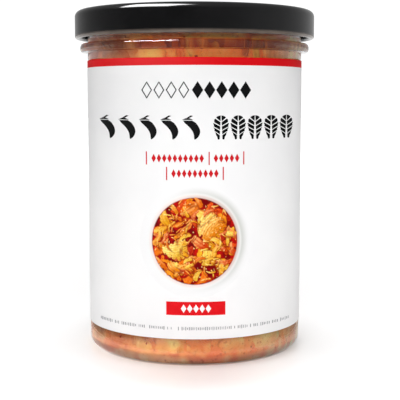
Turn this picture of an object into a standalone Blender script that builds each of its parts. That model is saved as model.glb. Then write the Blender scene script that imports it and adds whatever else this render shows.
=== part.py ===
# A kimchi jar: a straight clear glass jar with a carrying ring, a black twist-off lid,
# a wrap-around paper label, and the cut cabbage that fills the jar.
# Everything is in metres, +Z is up, and the origin is the middle of the base that it stands on.

import math
import random

import bmesh
import bpy
from mathutils import Vector

# Driving dimensions
TOTAL_HEIGHT = 0.1107
BODY_RADIUS = 0.0351
SHOULDER_RADIUS = 0.03545
WALL = 0.0022
GAP = 0.0003
ROUND_STEPS = 48

# Base of the jar
BEARING_INNER = 0.0285
HEEL_RADIUS = 0.0030
INNER_HEEL_RADIUS = 0.0025
PUSH_UP = 0.0010
FLOOR_THICKNESS = 0.0012
FLOOR_EDGE = 0.0014
FLOOR_BEND_RADIUS = 0.0220
FLOOR_BEND_DROP = 0.0002

# Carrying ring and mouth
RING_RADIUS = 0.0379
RING_LOW = 0.0973
RING_HIGH = 0.0998
NECK_RADIUS = 0.0354
FINISH_RADIUS = 0.0366
FINISH_LOW = 0.1030
FINISH_HIGH = 0.1086
LID_SHEET = 0.0006
RIM_HEIGHT = TOTAL_HEIGHT - LID_SHEET - GAP
RIM_ROUND = 0.0009

# Lid
LID_RADIUS = 0.0396
LID_EDGE_ROUND = 0.0020
LID_LOW = 0.1015
CURL_RADIUS = 0.0009
PANEL_RADIUS = 0.0315
PANEL_DROP = 0.0008
BUTTON_RADIUS = 0.0110
BUTTON_RISE = 0.0004
STEP_WIDTH = 0.0010

# Label
LABEL_SHEET = 0.00025
LABEL_LOW = 0.0084
LABEL_HIGH = 0.0945
LABEL_OPENING = 0.0060

# Contents
INNER_RADIUS = BODY_RADIUS - WALL
HEAP_RADIUS = INNER_RADIUS - GAP
HEAP_LOW = FLOOR_EDGE + GAP + 0.0002
HEAP_MIDDLE = FLOOR_THICKNESS + PUSH_UP + GAP
HEAP_HIGH = 0.1035
HEAP_HEEL = 0.0030
END_MARGIN = 0.0040
END_CLEAR = 0.0005
CORE_RADIUS = HEAP_RADIUS - 0.0021
ROOT_RADIUS = CORE_RADIUS - 0.0018
PIECE_ROWS = 6
PIECES_IN_A_ROW = 6
STRIP_COUNT = 12
SEED = 11


def clear_scene():
    for thing in list(bpy.data.objects):
        bpy.data.objects.remove(thing, do_unlink=True)


def make_material(name, colour, roughness, metallic=0.0, transmission=0.0):
    material = bpy.data.materials.new(name)
    material.use_nodes = True
    shader = material.node_tree.nodes["Principled BSDF"]
    shader.inputs["Base Color"].default_value = (*colour, 1.0)
    shader.inputs["Roughness"].default_value = roughness
    shader.inputs["Metallic"].default_value = metallic
    shader.inputs["Transmission Weight"].default_value = transmission
    return material


def finish_object(name, mesh_data, material):
    # Turns a bmesh into a named object with outward normals and one material
    bmesh.ops.recalc_face_normals(mesh_data, faces=mesh_data.faces)
    mesh = bpy.data.meshes.new(name)
    mesh_data.to_mesh(mesh)
    mesh_data.free()
    mesh.materials.append(material)
    thing = bpy.data.objects.new(name, mesh)
    bpy.context.scene.collection.objects.link(thing)
    return thing


def arc(centre_r, centre_z, radius, start, end, steps):
    # Points of a round corner in the (radius, height) plane, angles in degrees
    points = []
    for i in range(steps + 1):
        angle = math.radians(start + (end - start) * i / steps)
        points.append((centre_r + radius * math.cos(angle), centre_z + radius * math.sin(angle)))
    return points


def turned(name, profile, material):
    # Spins a closed (radius, height) outline about the Z axis into one solid
    shape = bmesh.new()
    verts = [shape.verts.new((r, 0.0, z)) for r, z in profile]
    on_axis = profile[0][0] == 0.0
    count = len(verts) if not on_axis else len(verts) - 1
    edges = [shape.edges.new((verts[i], verts[(i + 1) % len(verts)])) for i in range(count)]
    bmesh.ops.spin(
        shape,
        geom=verts + edges,
        cent=(0, 0, 0),
        axis=(0, 0, 1),
        angle=math.tau,
        steps=ROUND_STEPS,
        use_merge=True,
    )
    bmesh.ops.remove_doubles(shape, verts=shape.verts, dist=1e-7)
    thing = finish_object(name, shape, material)
    thing.data.shade_smooth()
    thing.data.set_sharp_from_angle(angle=math.radians(35))
    return thing


def make_jar():
    bearing_outer = SHOULDER_RADIUS - HEEL_RADIUS
    inner_heel = INNER_HEEL_RADIUS
    floor_middle = FLOOR_THICKNESS + PUSH_UP
    ring_round = (RING_HIGH - RING_LOW) * 0.42
    ring_slope = 0.0004
    recess_near = 0.0002
    recess_far = 0.0005
    finish_slope = 0.0008
    rim_outer = NECK_RADIUS - RIM_ROUND
    rim_inner = INNER_RADIUS + RIM_ROUND
    profile = [(0.0, PUSH_UP), (BEARING_INNER * 0.8, PUSH_UP * 0.85), (BEARING_INNER, 0.0)]
    profile += arc(bearing_outer, HEEL_RADIUS, HEEL_RADIUS, -90, 0, 5)
    profile += [(SHOULDER_RADIUS, LABEL_LOW - recess_far), (BODY_RADIUS, LABEL_LOW - recess_near)]
    profile += [(BODY_RADIUS, LABEL_HIGH + recess_near), (SHOULDER_RADIUS, LABEL_HIGH + recess_far)]
    profile += [(SHOULDER_RADIUS, RING_LOW - ring_slope)]
    profile += arc(RING_RADIUS - ring_round, RING_LOW + ring_round, ring_round, -90, 0, 3)
    profile += arc(RING_RADIUS - ring_round, RING_HIGH - ring_round, ring_round, 0, 90, 3)
    profile += [(NECK_RADIUS, RING_HIGH + ring_slope), (NECK_RADIUS, FINISH_LOW)]
    profile += [(FINISH_RADIUS, FINISH_LOW + finish_slope), (FINISH_RADIUS, FINISH_HIGH - finish_slope)]
    profile += [(NECK_RADIUS, FINISH_HIGH)]
    profile += arc(rim_outer, RIM_HEIGHT - RIM_ROUND, RIM_ROUND, 0, 90, 3)
    profile += arc(rim_inner, RIM_HEIGHT - RIM_ROUND, RIM_ROUND, 90, 180, 3)
    profile += arc(INNER_RADIUS - inner_heel, FLOOR_EDGE + inner_heel, inner_heel, 0, -90, 4)
    profile += [(FLOOR_BEND_RADIUS, floor_middle - FLOOR_BEND_DROP), (0.0, floor_middle)]
    return turned("jar", profile, make_material("glass", (0.93, 0.96, 0.95), 0.03, transmission=1.0))


def make_lid():
    top = TOTAL_HEIGHT
    panel = top - PANEL_DROP
    step_outer = PANEL_RADIUS + STEP_WIDTH
    button_outer = BUTTON_RADIUS + STEP_WIDTH
    edge_centre = LID_RADIUS - LID_EDGE_ROUND
    curl_r = LID_RADIUS - CURL_RADIUS
    curl_z = LID_LOW + CURL_RADIUS
    skirt_inner = LID_RADIUS - LID_SHEET
    inner_round = LID_EDGE_ROUND - LID_SHEET
    profile = [(0.0, panel + BUTTON_RISE), (BUTTON_RADIUS, panel + BUTTON_RISE), (button_outer, panel)]
    profile += [(PANEL_RADIUS, panel), (step_outer, top)]
    profile += reversed(arc(edge_centre, top - LID_EDGE_ROUND, LID_EDGE_ROUND, 0, 90, 4))
    profile += arc(curl_r, curl_z, CURL_RADIUS, 0, -180, 6)
    profile += [(skirt_inner - 0.0006, curl_z + CURL_RADIUS), (skirt_inner, curl_z + CURL_RADIUS * 1.6)]
    profile += arc(edge_centre, top - LID_EDGE_ROUND, inner_round, 0, 90, 3)
    profile += [(step_outer + 0.0002, top - LID_SHEET), (PANEL_RADIUS + 0.0002, panel - LID_SHEET)]
    profile += [(button_outer, panel - LID_SHEET), (BUTTON_RADIUS, panel + BUTTON_RISE - LID_SHEET)]
    profile += [(0.0, panel + BUTTON_RISE - LID_SHEET)]
    return turned("lid", profile, make_material("lid_black", (0.012, 0.012, 0.013), 0.3))


def make_label():
    # A sheet bent round the jar that stops short of itself at the back
    inner = BODY_RADIUS + GAP
    outer = inner + LABEL_SHEET
    half_gap = LABEL_OPENING / 2 / outer
    start = math.pi / 2 + half_gap
    sweep = math.tau - 2 * half_gap
    shape = bmesh.new()
    loops = []
    for i in range(ROUND_STEPS + 1):
        angle = start + sweep * i / ROUND_STEPS
        corners = [(inner, LABEL_LOW), (outer, LABEL_LOW), (outer, LABEL_HIGH), (inner, LABEL_HIGH)]
        loops.append([shape.verts.new((r * math.cos(angle), r * math.sin(angle), z)) for r, z in corners])
    for this, following in zip(loops, loops[1:]):
        for k in range(4):
            shape.faces.new((this[k], this[(k + 1) % 4], following[(k + 1) % 4], following[k]))
    shape.faces.new(loops[0])
    shape.faces.new(loops[-1])
    thing = finish_object("label", shape, make_material("label_paper", (0.9, 0.9, 0.9), 0.35))
    thing.data.shade_smooth()
    thing.data.set_sharp_from_angle(angle=math.radians(35))
    return thing


def heap_limit(z):
    # The largest radius that the contents may have at a height, inside the jar's round heel
    above = z - HEAP_LOW
    if above >= HEAP_HEEL:
        return HEAP_RADIUS
    fall = HEAP_HEEL - max(above, 0.0)
    return HEAP_RADIUS - HEAP_HEEL + math.sqrt(max(HEAP_HEEL**2 - fall**2, 0.0))


def eased(z):
    # Heights near the two ends are drawn in smoothly, so that no piece passes them or folds
    low = z - (HEAP_LOW + END_MARGIN)
    high = z - (HEAP_HIGH - END_MARGIN)
    if low < 0:
        return HEAP_LOW + END_CLEAR + (END_MARGIN - END_CLEAR) * math.exp(low / (END_MARGIN - END_CLEAR))
    if high > 0:
        return HEAP_HIGH - END_CLEAR - (END_MARGIN - END_CLEAR) * math.exp(-high / (END_MARGIN - END_CLEAR))
    return z


def wall_point(angle, z, radius):
    z = eased(z)
    radius = min(radius, heap_limit(z) - 0.0001)
    return (radius * math.cos(angle), radius * math.sin(angle), z)


def closed_patch(columns, rows, outer_point, inner_point):
    # A closed solid between two point grids, given by functions of (column, row)
    shape = bmesh.new()
    outer = [[shape.verts.new(outer_point(i, j)) for j in range(rows + 1)] for i in range(columns + 1)]
    inner = [[shape.verts.new(inner_point(i, j)) for j in range(rows + 1)] for i in range(columns + 1)]
    for i in range(columns):
        for j in range(rows):
            shape.faces.new((outer[i][j], outer[i + 1][j], outer[i + 1][j + 1]))
            shape.faces.new((outer[i][j], outer[i + 1][j + 1], outer[i][j + 1]))
            shape.faces.new((inner[i][j], inner[i + 1][j + 1], inner[i + 1][j]))
            shape.faces.new((inner[i][j], inner[i][j + 1], inner[i + 1][j + 1]))
    border = [(i, 0) for i in range(columns)] + [(columns, j) for j in range(rows)]
    border += [(i, rows) for i in range(columns, 0, -1)] + [(0, j) for j in range(rows, 0, -1)]
    for (a, b), (c, d) in zip(border, border[1:] + border[:1]):
        shape.faces.new((outer[a][b], inner[a][b], inner[c][d], outer[c][d]))
    bmesh.ops.triangulate(shape, faces=shape.faces)
    return shape


def cabbage_pieces():
    # Where each cut of cabbage lies against the glass: rows up the jar, each row turned a little
    draw = random.Random(SEED)
    pieces = []
    rise = (HEAP_HIGH - HEAP_LOW) / PIECE_ROWS
    for row in range(PIECE_ROWS):
        for place in range(PIECES_IN_A_ROW):
            pieces.append(
                {
                    "angle": math.tau * (place + 0.5 * (row % 2) + draw.uniform(-0.22, 0.22)) / PIECES_IN_A_ROW,
                    "height": HEAP_LOW + rise * (row + 0.5 + draw.uniform(-0.18, 0.18)),
                    "turn": math.radians(draw.uniform(-38, 38)),
                    "width": draw.uniform(0.022, 0.033),
                    "length": draw.uniform(0.015, 0.022),
                    "sink": draw.uniform(0.0, 0.0011),
                    "rib": draw.random() < 0.35,
                    "phase": draw.uniform(0, math.tau),
                    "skew": draw.uniform(-0.25, 0.25),
                }
            )
    return pieces


def cabbage_piece(piece, columns=4, rows=3):
    # One flat cut of leaf or rib, pressed to the wall: crowned, wavy, with uneven edges
    wave = 0.0003 if piece["rib"] else 0.0006

    def place(i, j):
        u = 2 * i / columns - 1
        v = 2 * j / rows - 1
        bulge = 1 + 0.18 * math.sin(3.1 * v + piece["phase"])
        a = u * piece["width"] / 2 * bulge * (1 - 0.18 * v * v) + piece["skew"] * v * piece["length"] / 2
        b = v * piece["length"] / 2 * (1 + 0.16 * math.sin(2.7 * u + 1.7 * piece["phase"])) * (1 - 0.16 * u * u)
        across = a * math.cos(piece["turn"]) - b * math.sin(piece["turn"])
        up = a * math.sin(piece["turn"]) + b * math.cos(piece["turn"])
        return u, v, piece["angle"] + across / HEAP_RADIUS, piece["height"] + up

    def outer_point(i, j):
        u, v, angle, z = place(i, j)
        edge = max(abs(u), abs(v)) ** 6
        dip = piece["sink"] + 0.0009 * edge + wave * (1 + math.sin(5 * u + 3 * v + piece["phase"])) / 2
        return wall_point(angle, z, HEAP_RADIUS - dip)

    def inner_point(i, j):
        _, _, angle, z = place(i, j)
        return wall_point(angle, z, ROOT_RADIUS)

    return closed_patch(columns, rows, outer_point, inner_point)


def radish_strips():
    draw = random.Random(SEED + 1)
    strips = []
    for k in range(STRIP_COUNT):
        strips.append(
            {
                "angle": math.tau * (k * 0.381966 + draw.uniform(-0.02, 0.02)),
                "height": HEAP_LOW + (HEAP_HIGH - HEAP_LOW) * (k + 0.5) / STRIP_COUNT,
                "turn": math.radians(draw.uniform(-75, 75)),
                "length": draw.uniform(0.020, 0.034),
                "thick": draw.uniform(0.0022, 0.0030),
                "bend": draw.uniform(-0.35, 0.35),
            }
        )
    return strips


def radish_strip(strip, columns=5, rows=1):
    # A cut matchstick of radish, bent a little along the wall
    def place(i, j):
        u = 2 * i / columns - 1
        v = 2 * j / rows - 1
        a = u * strip["length"] / 2
        b = v * strip["thick"] / 2 + strip["bend"] * strip["length"] / 2 * (u * u - 0.5)
        across = a * math.cos(strip["turn"]) - b * math.sin(strip["turn"])
        up = a * math.sin(strip["turn"]) + b * math.cos(strip["turn"])
        return v, strip["angle"] + across / HEAP_RADIUS, strip["height"] + up

    def outer_point(i, j):
        v, angle, z = place(i, j)
        return wall_point(angle, z, HEAP_RADIUS - 0.0004 - 0.0002 * (1 + v))

    def inner_point(i, j):
        _, angle, z = place(i, j)
        return wall_point(angle, z, ROOT_RADIUS)

    return closed_patch(columns, rows, outer_point, inner_point)


def make_kimchi():
    # The heap: a smaller core with the cuts that show at the glass joined on
    material = make_material("kimchi", (0.75, 0.29, 0.09), 0.35)
    core_heel = HEAP_HEEL - 0.0005
    profile = [(0.0, HEAP_MIDDLE), (FLOOR_BEND_RADIUS, HEAP_MIDDLE - FLOOR_BEND_DROP)]
    profile += arc(CORE_RADIUS - core_heel, HEAP_LOW + core_heel, core_heel, -90, 0, 3)
    profile += [(CORE_RADIUS, HEAP_HIGH - 0.0002), (CORE_RADIUS * 0.8, HEAP_HIGH + 0.0004), (0.0, HEAP_HIGH + 0.0010)]
    core = turned("kimchi", profile, material)
    cuts = bpy.data.collections.new("cuts")
    bpy.context.scene.collection.children.link(cuts)
    shapes = [cabbage_piece(piece) for piece in cabbage_pieces()]
    shapes += [radish_strip(strip) for strip in radish_strips()]
    for number, shape in enumerate(shapes):
        cut = finish_object(f"cut_{number}", shape, material)
        bpy.context.scene.collection.objects.unlink(cut)
        cuts.objects.link(cut)
    join = core.modifiers.new("join", "BOOLEAN")
    join.operation = "UNION"
    join.operand_type = "COLLECTION"
    join.collection = cuts
    join.solver = "MANIFOLD"
    view = bpy.context.evaluated_depsgraph_get()
    joined = bpy.data.meshes.new_from_object(core.evaluated_get(view))
    core.modifiers.remove(join)
    core.data = joined
    for cut in list(cuts.objects):
        bpy.data.objects.remove(cut, do_unlink=True)
    bpy.data.collections.remove(cuts)
    core.data.shade_flat()
    print("kimchi faces", len(core.data.polygons))
    return core


def main():
    clear_scene()
    make_jar()
    make_lid()
    make_label()
    make_kimchi()


main()
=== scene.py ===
import math
import random

import bmesh
import bpy
import numpy as np
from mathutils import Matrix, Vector, noise


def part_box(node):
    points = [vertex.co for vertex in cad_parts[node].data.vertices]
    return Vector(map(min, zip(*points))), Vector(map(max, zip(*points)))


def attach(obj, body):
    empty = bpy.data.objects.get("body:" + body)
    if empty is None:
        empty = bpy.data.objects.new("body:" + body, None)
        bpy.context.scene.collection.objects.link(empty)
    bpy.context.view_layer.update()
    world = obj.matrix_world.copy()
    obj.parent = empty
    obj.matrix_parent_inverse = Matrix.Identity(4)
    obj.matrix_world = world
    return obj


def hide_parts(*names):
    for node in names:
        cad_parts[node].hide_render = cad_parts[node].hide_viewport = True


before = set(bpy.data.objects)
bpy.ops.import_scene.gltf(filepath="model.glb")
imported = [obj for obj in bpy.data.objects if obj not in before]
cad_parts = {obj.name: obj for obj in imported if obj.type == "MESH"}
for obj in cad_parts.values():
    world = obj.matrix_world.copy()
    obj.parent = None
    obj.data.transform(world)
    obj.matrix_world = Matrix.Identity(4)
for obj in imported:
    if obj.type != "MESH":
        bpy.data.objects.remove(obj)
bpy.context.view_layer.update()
mm = 0.001
scene = bpy.context.scene
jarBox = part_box("jar")
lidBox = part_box("lid")
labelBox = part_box("label")
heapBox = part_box("kimchi")
labelRadius = labelBox[1].x
labelLow, labelHigh = labelBox[0].z, labelBox[1].z


# Small tools

def linear(red, green, blue):
    # a colour as a screen shows it, 0 to 255, turned into the shader's linear colour
    def channel(value):
        value = value / 255
        return value / 12.92 if value <= 0.04045 else ((value + 0.055) / 1.055) ** 2.4

    return (channel(red), channel(green), channel(blue), 1.0)


def arc(centreR, centreZ, radius, start, end, steps):
    # a round corner of a turned outline, angles in degrees
    angles = [math.radians(start + (end - start) * i / steps) for i in range(steps + 1)]
    return [(centreR + radius * math.cos(a), centreZ + radius * math.sin(a)) for a in angles]


def smoothstep(low, high, value):
    part = np.clip((value - low) / (high - low), 0.0, 1.0)
    return part * part * (3 - 2 * part)


def mixed(first, second, share):
    share = np.asarray(share)[..., None]
    return first * (1 - share) + second * share


def flatNoise(x, z, scale, seed):
    return np.array([noise.noise(Vector((a * scale, b * scale, seed))) for a, b in zip(x, z)])


def noiseAt(points, scale, shift=(0, 0, 0)):
    return np.array([noise.noise(Vector(p) * scale + Vector(shift)) for p in points])


def addObject(name, mesh):
    thing = bpy.data.objects.new(name, mesh)
    scene.collection.objects.link(thing)
    return thing


def removeObject(thing):
    mesh = thing.data
    bpy.data.objects.remove(thing, do_unlink=True)
    bpy.data.meshes.remove(mesh)


def meshFrom(shape, name):
    # turns a shape under construction into a mesh
    mesh = bpy.data.meshes.new(name)
    shape.to_mesh(mesh)
    shape.free()
    return mesh


def paintPoints(mesh, colours):
    # one colour for each point, which the material reads as its tint
    tint = mesh.color_attributes.new("tint", "FLOAT_COLOR", "POINT")
    four = np.ones((len(colours), 4), dtype=np.float32)
    four[:, :3] = colours
    tint.data.foreach_set("color", four.ravel())


def place(thing, node=None):
    # every piece of a shut jar rides on the one body
    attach(thing, "root")
    if node:
        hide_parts(node)
    return thing


def addNode(tree, kind, inputs=None, **settings):
    # one node of a shader or geometry tree, with its sockets set or wired
    node = tree.nodes.new(kind)
    for key, value in settings.items():
        setattr(node, key, value)
    for key, value in (inputs or {}).items():
        if isinstance(value, bpy.types.NodeSocket):
            tree.links.new(value, node.inputs[key])
        else:
            node.inputs[key].default_value = value
    return node


def maths(tree, operation, *values):
    return addNode(tree, "ShaderNodeMath", dict(enumerate(values)), operation=operation).outputs[0]


def mixColours(tree, mask, first, second):
    mix = addNode(tree, "ShaderNodeMix", {0: mask, 6: first, 7: second}, data_type="RGBA")
    return mix.outputs[2]


def ramp(tree, value, low, high, first=0.0, last=1.0, soft=True):
    # runs from first to last while the value runs from low to high
    limits = {0: value, 1: low, 2: high, 3: first, 4: last}
    kind = "SMOOTHSTEP" if soft else "LINEAR"
    return addNode(tree, "ShaderNodeMapRange", limits, interpolation_type=kind).outputs[0]


def objectPlace(tree):
    return addNode(tree, "ShaderNodeTexCoord").outputs["Object"]


def partsOf(tree, vector):
    return addNode(tree, "ShaderNodeSeparateXYZ", {0: vector}).outputs


def distanceFrom(tree, spot, middle=(0, 0)):
    offset = addNode(tree, "ShaderNodeVectorMath", {0: spot, 1: (*middle, 0)}, operation="SUBTRACT")
    return addNode(tree, "ShaderNodeVectorMath", {0: offset.outputs[0]}, operation="LENGTH").outputs["Value"]


def shapeOf(tree, thing):
    return addNode(tree, "GeometryNodeObjectInfo", {"Object": thing}).outputs["Geometry"]


def randomEach(tree, least, most, seed=None):
    # one random number for each copy
    value = addNode(tree, "FunctionNodeRandomValue", data_type="FLOAT")
    sockets = {socket.name: socket for socket in value.inputs if socket.enabled}
    for key, number in (("Min", least), ("Max", most)):
        if isinstance(number, bpy.types.NodeSocket):
            tree.links.new(number, sockets[key])
        else:
            sockets[key].default_value = number
    if seed is not None:
        tree.links.new(seed, sockets["Seed"])
    return next(socket for socket in value.outputs if socket.enabled)


def endTree(tree, shape, finish, result):
    # copies are made real, so that the export keeps them
    real = addNode(tree, "GeometryNodeRealizeInstances", {"Geometry": shape})
    done = addNode(tree, "GeometryNodeSetMaterial", {"Geometry": real.outputs[0], "Material": finish})
    tree.links.new(done.outputs[0], result["Geometry"])


def newTree(name, kind, inputs, outputs):
    tree = bpy.data.node_groups.new(name, kind)
    for label, sort, value in inputs:
        socket = tree.interface.new_socket(label, in_out="INPUT", socket_type="NodeSocket" + sort)
        if value is not None:
            socket.default_value = value
    for label, sort in outputs:
        tree.interface.new_socket(label, in_out="OUTPUT", socket_type="NodeSocket" + sort)
    return tree, tree.nodes.new("NodeGroupInput").outputs, tree.nodes.new("NodeGroupOutput").inputs


def runTree(name, tree, values):
    # runs a geometry tree once and keeps its result as a plain mesh
    thing = addObject(name, bpy.data.meshes.new(name))
    maker = thing.modifiers.new(tree.name, "NODES")
    maker.node_group = tree
    for item in tree.interface.items_tree:
        if item.item_type == "SOCKET" and item.in_out == "INPUT" and item.name in values:
            maker[item.identifier] = values[item.name]
    view = bpy.context.evaluated_depsgraph_get()
    result = bpy.data.meshes.new_from_object(thing.evaluated_get(view), depsgraph=view)
    thing.modifiers.remove(maker)
    empty = thing.data
    thing.data = result
    bpy.data.meshes.remove(empty)
    result.name = name
    return thing


def faceOutwards(thing):
    shape = bmesh.new()
    shape.from_mesh(thing.data)
    bmesh.ops.remove_doubles(shape, verts=shape.verts, dist=0.001 * mm)
    bmesh.ops.recalc_face_normals(shape, faces=shape.faces)
    shape.to_mesh(thing.data)
    shape.free()


def newMaterial(name, values):
    material = bpy.data.materials.new(name)
    material.use_nodes = True
    shader = material.node_tree.nodes["Principled BSDF"]
    for key, value in values.items():
        shader.inputs[key].default_value = value
    return material, material.node_tree, shader


# Camera, lights and floor

cameraValues = {
    "lens": 90.0, "sensor": 36.0, "back": 337.3 * mm, "height": 82.1 * mm, "tilt": 5.79, "turn": 0.31,
}

# gloss: seen in reflections only; matt: lights the surfaces but isn't seen in them
lightValues = {
    "front": {"side": 0, "up": 22, "away": 1.5, "size": (1.2, 0.6), "power": 11.8, "kind": "matt"},
    "bank": {"side": -53, "up": 54, "away": 1.2, "size": (1.0, 0.78), "power": 60.0, "kind": "gloss"},
}

# strengths of the tent's parts, and between which slopes of a ray they change over
worldValues = {
    "frontLow": 0.07, "backLow": 0.50, "slant": 0.12, "overhead": 0.36, "overheadFrom": (0.25, 0.6),
    "behindGlass": 1.0, "behindFrom": (0.2, 0.7), "seen": 1.1,
}

# the floor glows more the farther it is from the jar, a painted soft shadow round it, and is dark where the
# jar stands
floorValues = {
    "width": 8.0, "roughness": 0.3, "paint": (0.93, 0.91, 0.905, 1), "middle": (0, -2.5 * mm),
    "darkTo": 29.5 * mm, "glowFrom": 38 * mm, "glow": 0.40,
    "farFrom": 36 * mm, "farTo": 60 * mm, "farGlow": 0.54,
    "openFrom": 70 * mm, "openTo": 300 * mm, "openGlow": 0.64,
    "wideFrom": 250 * mm, "wideTo": 700 * mm, "wideGlow": 1.15,
    "dimFrom": 60 * mm, "dimTo": 90 * mm, "dimBack": 150 * mm, "dim": 0.8, "dimRest": 0.1,
    # painted reflection: a pinkish tint of the food's light on the floor just in front of the jar
    "bounceTintAt": (0, -43 * mm), "bounceTintReach": (3 * mm, 30 * mm), "bounceTint": (0.70, 0.66, 0.655, 1),
    # painted shadow: the brown line of contact under the jar
    "contactShadowFrom": 31.0 * mm, "contactShadowTo": 33.5 * mm, "contactShadow": (0.20, 0.15, 0.12, 1),
}


def makeCamera():
    lens = bpy.data.cameras.new("camera")
    lens.lens = cameraValues["lens"]
    lens.sensor_width = cameraValues["sensor"]
    camera = bpy.data.objects.new("camera", lens)
    camera.location = (0, -cameraValues["back"], cameraValues["height"])
    turn = (math.radians(90 - cameraValues["tilt"]), 0, -math.radians(cameraValues["turn"]))
    camera.rotation_euler = turn
    scene.collection.objects.link(camera)
    scene.camera = camera


def makeLight(name, values):
    side, up = math.radians(values["side"]), math.radians(values["up"])
    towards = Vector((math.sin(side) * math.cos(up), -math.cos(side) * math.cos(up), math.sin(up)))
    lamp = bpy.data.lights.new(name, "AREA")
    lamp.shape = "RECTANGLE"
    lamp.size, lamp.size_y = values["size"]
    lamp.energy = values["power"]
    light = bpy.data.objects.new(name, lamp)
    light.location = towards * values["away"] + Vector((0, 0, jarBox[1].z / 2))
    light.rotation_euler = towards.to_track_quat("Z", "Y").to_euler()
    light.visible_diffuse = values["kind"] != "gloss"
    light.visible_glossy = values["kind"] != "matt"
    light.visible_transmission = False
    scene.collection.objects.link(light)


def makeWorld():
    # a white tent: bright above, dimmer low down, dimmest behind the camera, white behind the jar
    v = worldValues
    world = bpy.data.worlds.new("tent")
    scene.world = world
    world.use_nodes = True
    tree = world.node_tree
    background = tree.nodes["Background"]
    background.inputs["Color"].default_value = (1, 1, 1, 1)
    parts = partsOf(tree, addNode(tree, "ShaderNodeTexCoord").outputs["Generated"])
    path = addNode(tree, "ShaderNodeLightPath").outputs
    low = ramp(tree, parts[1], -1.0, 1.0, v["frontLow"], v["backLow"], soft=False)
    strength = maths(tree, "MULTIPLY_ADD", parts[0], v["slant"], low)
    behind = ramp(tree, parts[1], *v["behindFrom"])
    for share, value in (
            (ramp(tree, parts[2], *v["overheadFrom"]), v["overhead"]),
            (maths(tree, "MULTIPLY", behind, path["Is Transmission Ray"]), v["behindGlass"]),
            (path["Is Camera Ray"], v["seen"])):
        strength = addNode(tree, "ShaderNodeMix", {0: share, 2: strength, 3: value}).outputs[0]
    tree.links.new(strength, background.inputs["Strength"])


def makeFloor():
    v = floorValues
    half = v["width"] / 2
    mesh = bpy.data.meshes.new("floor")
    corners = [(-half, -half, 0), (half, -half, 0), (half, half, 0), (-half, half, 0)]
    mesh.from_pydata(corners, [], [(0, 1, 2, 3)])
    floor = addObject("floor", mesh)
    material, tree, shader = newMaterial("whiteFloor", {"Roughness": v["roughness"]})
    spot = objectPlace(tree)
    path = addNode(tree, "ShaderNodeLightPath").outputs
    away = distanceFrom(tree, spot, v["middle"])
    # painted soft shadow: the floor glows less near the jar
    strength = ramp(tree, away, v["darkTo"], v["glowFrom"], 0.0, v["glow"])
    for low, high, rise in (("farFrom", "farTo", v["farGlow"] - v["glow"]),
                            ("openFrom", "openTo", v["openGlow"] - v["farGlow"])):
        more = ramp(tree, away, v[low], v[high], 0.0, rise, soft=False)
        strength = maths(tree, "ADD", strength, more)
    # far out it is white only to the eye, so that it adds nothing to the jar's light
    wide = ramp(tree, away, v["wideFrom"], v["wideTo"], 0.0, v["wideGlow"] - v["openGlow"], soft=False)
    strength = maths(tree, "MULTIPLY_ADD", wide, path["Is Camera Ray"], strength)
    # where the glass and lid high above mirror it, it is dimmer, most of all in front
    high = ramp(tree, path["Ray Length"], v["dimFrom"], v["dimTo"], soft=False)
    front = ramp(tree, partsOf(tree, spot)[1], 0.0, v["dimBack"], v["dim"], v["dimRest"], soft=False)
    dim = maths(tree, "MULTIPLY", maths(tree, "MULTIPLY", high, front), path["Is Glossy Ray"])
    strength = maths(tree, "MULTIPLY", strength, maths(tree, "SUBTRACT", 1.0, dim))
    tree.links.new(strength, shader.inputs["Emission Strength"])
    # a painted contact shadow, a brown line under the jar, and a painted pinkish reflection of the food just
    # in front of it
    clear = ramp(tree, away, v["contactShadowFrom"], v["contactShadowTo"])
    paint = mixColours(tree, clear, v["contactShadow"], v["paint"])
    tree.links.new(mixColours(tree, dim, paint, (0, 0, 0, 1)), shader.inputs["Base Color"])
    white = ramp(tree, distanceFrom(tree, spot, v["bounceTintAt"]), *v["bounceTintReach"])
    tree.links.new(mixColours(tree, white, v["bounceTint"], (1, 1, 1, 1)), shader.inputs["Emission Color"])
    mesh.materials.append(material)


scene.view_settings.view_transform = "Standard"
makeCamera()
for lightName, values in lightValues.items():
    makeLight(lightName, values)
makeWorld()
makeFloor()
print("stage: camera, soft lights, tent and floor")


# Shader groups that several finishes share

def makeMottleGroup():
    # soft uneven blotches: a mask from 0 to 1
    tree, given, result = newTree(
        "mottle", "ShaderNodeTree",
        [("Scale", "Float", 200.0), ("Low", "Float", 0.4), ("High", "Float", 0.6)],
        [("Mask", "Float")])
    pattern = {"Vector": objectPlace(tree), "Scale": given["Scale"], "Detail": 4.0}
    cloud = addNode(tree, "ShaderNodeTexNoise", pattern).outputs[0]
    tree.links.new(ramp(tree, cloud, given["Low"], given["High"]), result["Mask"])
    return tree


def makeGrainGroup():
    # fine relief as a normal
    tree, given, result = newTree(
        "surfaceGrain", "ShaderNodeTree",
        [("Scale", "Float", 2000.0), ("Strength", "Float", 0.1),
         ("Depth", "Float", 0.0001)],
        [("Normal", "Vector")])
    pattern = {"Vector": objectPlace(tree), "Scale": given["Scale"], "Detail": 3.0}
    cloud = addNode(tree, "ShaderNodeTexNoise", pattern).outputs[0]
    relief = {"Height": cloud, "Strength": given["Strength"], "Distance": given["Depth"]}
    tree.links.new(addNode(tree, "ShaderNodeBump", relief).outputs[0], result["Normal"])
    return tree


mottleGroup = makeMottleGroup()
grainGroup = makeGrainGroup()


def addGrain(tree, shader, scale, strength, depth):
    grain = addNode(tree, "ShaderNodeGroup", node_tree=grainGroup)
    grain.inputs["Scale"].default_value = scale
    grain.inputs["Strength"].default_value = strength
    grain.inputs["Depth"].default_value = depth
    tree.links.new(grain.outputs["Normal"], shader.inputs["Normal"])


def addMottle(tree, scale, low, high):
    mottle = addNode(tree, "ShaderNodeGroup", node_tree=mottleGroup)
    mottle.inputs["Scale"].default_value = scale
    mottle.inputs["Low"].default_value = low
    mottle.inputs["High"].default_value = high
    return mottle.outputs["Mask"]


def twoTones(tree, shades, scale, low, high):
    return mixColours(tree, addMottle(tree, scale, low, high), *shades)


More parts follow.
